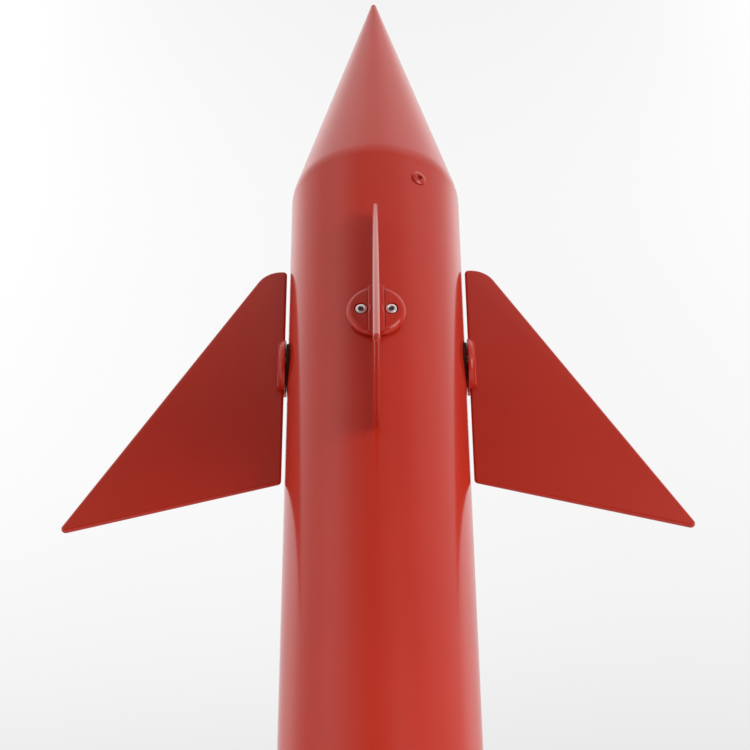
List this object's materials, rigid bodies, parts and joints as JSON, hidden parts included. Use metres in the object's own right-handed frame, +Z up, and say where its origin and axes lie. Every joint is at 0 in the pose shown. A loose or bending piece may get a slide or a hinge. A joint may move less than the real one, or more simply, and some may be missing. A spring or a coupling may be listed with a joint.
{
  "type": "tin space rocket",
  "caption": "Red sheet-metal toy rocket: a long tube with a pointed cone nose, a weighted base and swept fins that pivot on round hubs.",
  "frame": {"origin": "middle of the underside of the base", "axes": "+Z up along the rocket towards the nose, -Y out along the front fin, +X out along the right fin"},
  "size_m": [0.2844, 0.2844, 0.5922],
  "materials": {
    "body_paint": "satin gloss red paint",
    "nose_paint": "satin gloss red paint",
    "fin_paint": "satin gloss red paint",
    "hub_paint": "satin gloss red paint",
    "rivet_paint": "satin gloss red paint",
    "zinc_steel": "bright zinc plate",
    "sheet_steel": "plain pressed sheet",
    "ballast_steel": "raw",
    "turned_steel": "turned",
    "bush_steel": "blackened",
    "foot_rubber": "matt"
  },
  "bodies": {
    "hull": {"body_tube": "body_paint", "nose_cone": "nose_paint", "nose_collar": "sheet_steel", "nose_rivet_1": "rivet_paint", "nose_rivet_2": "rivet_paint", "base_cup": "sheet_steel", "base_rivet_1": "rivet_paint", "base_rivet_2": "rivet_paint", "base_rivet_3": "rivet_paint", "ballast_disc": "ballast_steel", "ballast_bolt": "zinc_steel", "ballast_nut": "zinc_steel", "foot_pad": "foot_rubber", "pivot_bush_front": "bush_steel", "stop_pin_front": "turned_steel", "pivot_bush_right": "bush_steel", "stop_pin_right": "turned_steel", "pivot_bush_rear": "bush_steel", "stop_pin_rear": "turned_steel", "pivot_bush_left": "bush_steel", "stop_pin_left": "turned_steel"},
    "fin_front": {"fin_blade_front": "fin_paint", "fin_hub_front": "hub_paint", "hub_screw_front_a": "zinc_steel", "hub_screw_front_b": "zinc_steel", "pivot_spindle_front": "turned_steel", "spring_washer_front": "turned_steel", "lock_nut_front": "zinc_steel"},
    "fin_right": {"fin_blade_right": "fin_paint", "fin_hub_right": "hub_paint", "hub_screw_right_a": "zinc_steel", "hub_screw_right_b": "zinc_steel", "pivot_spindle_right": "turned_steel", "spring_washer_right": "turned_steel", "lock_nut_right": "zinc_steel"},
    "fin_rear": {"fin_blade_rear": "fin_paint", "fin_hub_rear": "hub_paint", "hub_screw_rear_a": "zinc_steel", "hub_screw_rear_b": "zinc_steel", "pivot_spindle_rear": "turned_steel", "spring_washer_rear": "turned_steel", "lock_nut_rear": "zinc_steel"},
    "fin_left": {"fin_blade_left": "fin_paint", "fin_hub_left": "hub_paint", "hub_screw_left_a": "zinc_steel", "hub_screw_left_b": "zinc_steel", "pivot_spindle_left": "turned_steel", "spring_washer_left": "turned_steel", "lock_nut_left": "zinc_steel"}
  },
  "joints": [
    {"name": "fin_pivot_front", "type": "hinge", "parent": "hull", "child": "fin_front", "pos_m": [0, 0, 0.34], "axis": [0, -1, 0], "range_deg": [-30, 30]},
    {"name": "fin_pivot_right", "type": "hinge", "parent": "hull", "child": "fin_right", "pos_m": [0, 0, 0.34], "axis": [1, 0, 0], "range_deg": [-30, 30]},
    {"name": "fin_pivot_rear", "type": "hinge", "parent": "hull", "child": "fin_rear", "pos_m": [0, 0, 0.34], "axis": [0, 1, 0], "range_deg": [-30, 30]},
    {"name": "fin_pivot_left", "type": "hinge", "parent": "hull", "child": "fin_left", "pos_m": [0, 0, 0.34], "axis": [-1, 0, 0], "range_deg": [-30, 30]}
  ]
}
